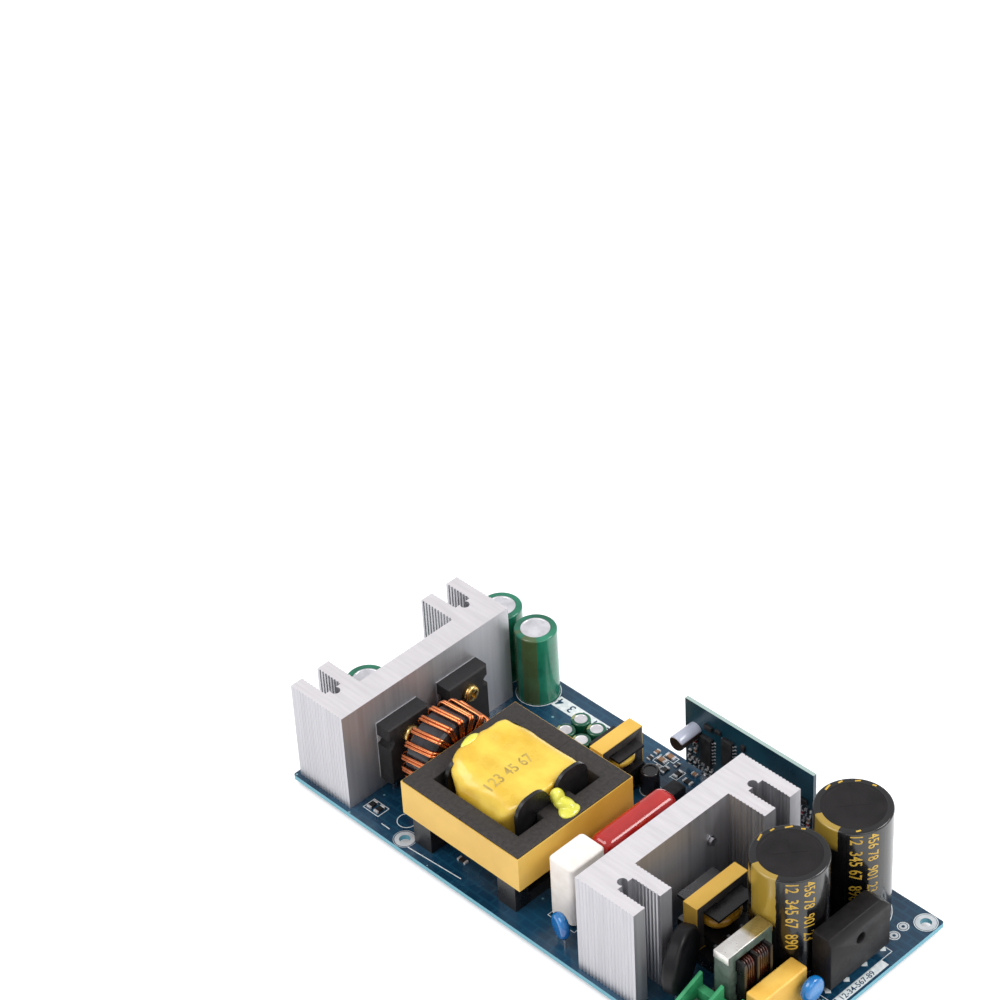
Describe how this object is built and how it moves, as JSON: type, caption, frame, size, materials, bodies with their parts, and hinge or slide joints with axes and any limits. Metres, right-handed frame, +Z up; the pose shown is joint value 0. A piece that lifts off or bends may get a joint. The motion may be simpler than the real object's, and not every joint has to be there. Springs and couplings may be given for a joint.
{
  "type": "switching power supply",
  "caption": "Open-frame AC to DC supply: circuit board with ribbed heatsinks, a main transformer, a wound choke, capacitors, a control board and screw terminals.",
  "frame": {"origin": "under the middle of the board, on the surface that the solder joints and screw heads rest on", "axes": "+X along the board from the output end to the input end, +Y across it, +Z up away from the board"},
  "size_m": [0.177, 0.082, 0.0431],
  "materials": {
    "board_laminate": "blue solder resist over glass laminate",
    "extruded_aluminium": "bare extrusion, satin",
    "steel_screw": "zinc plated",
    "brass_screw": "plain",
    "package_black": "moulded epoxy",
    "bridge_body": "moulded epoxy",
    "pad_grey": "silicone pad",
    "tinned_lead": "tinned",
    "solder": "bright solder",
    "ferrite": "sintered ferrite, dull grey",
    "powder_core": "epoxy coated powder",
    "copper_wire": "enamelled copper",
    "core_tape": "polyester tape",
    "taped_winding": "polyester tape over copper",
    "bobbin_black": "moulded",
    "spring_clip": "bright strip",
    "green_sleeve": "shrink sleeve",
    "black_sleeve": "shrink sleeve",
    "grey_sleeve": "shrink sleeve",
    "control_laminate": "dark solder resist",
    "chip_black": "moulded epoxy",
    "red_coating": "dipped coating",
    "white_ceramic": "matt",
    "blue_coating": "dipped coating",
    "black_coating": "dipped coating, matt",
    "yellow_case": "moulded case",
    "fuse_case": "moulded case",
    "terminal_green": "moulded",
    "terminal_metal": "nickel plated"
  },
  "bodies": {
    "root": {"auxiliary_capacitor": "black_sleeve", "auxiliary_transformer_bobbin": "bobbin_black", "auxiliary_transformer_core": "ferrite", "auxiliary_transformer_tape": "core_tape", "auxiliary_transformer_winding": "taped_winding", "bridge_rectifier": "bridge_body", "bulk_capacitor_far": "black_sleeve", "bulk_capacitor_near": "black_sleeve", "ceramic_resistor": "white_ceramic", "circuit_board": "board_laminate", "component_leads": "tinned_lead", "control_board": "control_laminate", "control_board_capacitor": "grey_sleeve", "control_board_chips": "chip_black", "control_board_header": "tinned_lead", "drive_transformer_bobbin": "bobbin_black", "drive_transformer_core": "ferrite", "drive_transformer_tape": "core_tape", "drive_transformer_winding": "taped_winding", "film_capacitor": "red_coating", "heatsink_board_screws": "steel_screw", "input_heatsink": "extruded_aluminium", "input_terminal": "terminal_green", "insulating_pads": "pad_grey", "line_choke_bobbin": "bobbin_black", "line_choke_clip": "spring_clip", "line_choke_core": "ferrite", "line_choke_windings": "copper_wire", "line_filter_capacitor": "yellow_case", "line_fuse": "fuse_case", "optocoupler_far": "chip_black", "optocoupler_near": "chip_black", "output_capacitor_channel": "green_sleeve", "output_capacitor_corner": "green_sleeve", "output_capacitor_far": "green_sleeve", "output_choke_core": "powder_core", "output_choke_winding": "copper_wire", "output_heatsink": "extruded_aluminium", "output_rectifier_front": "package_black", "output_rectifier_rear": "package_black", "output_terminal": "terminal_green", "package_leads": "tinned_lead", "package_screws": "brass_screw", "small_capacitor_1": "green_sleeve", "small_capacitor_2": "green_sleeve", "small_capacitor_3": "green_sleeve", "small_capacitor_4": "green_sleeve", "solder_joints": "solder", "suppression_capacitor_near": "blue_coating", "suppression_capacitor_side": "blue_coating", "surface_chips": "chip_black", "switching_transistor_front": "package_black", "switching_transistor_rear": "package_black", "terminal_screws": "terminal_metal", "thermistor": "black_coating", "transformer_bobbin": "bobbin_black", "transformer_core_left": "ferrite", "transformer_core_right": "ferrite", "transformer_core_tape": "core_tape", "transformer_winding": "taped_winding"}
  },
  "joints": []
}
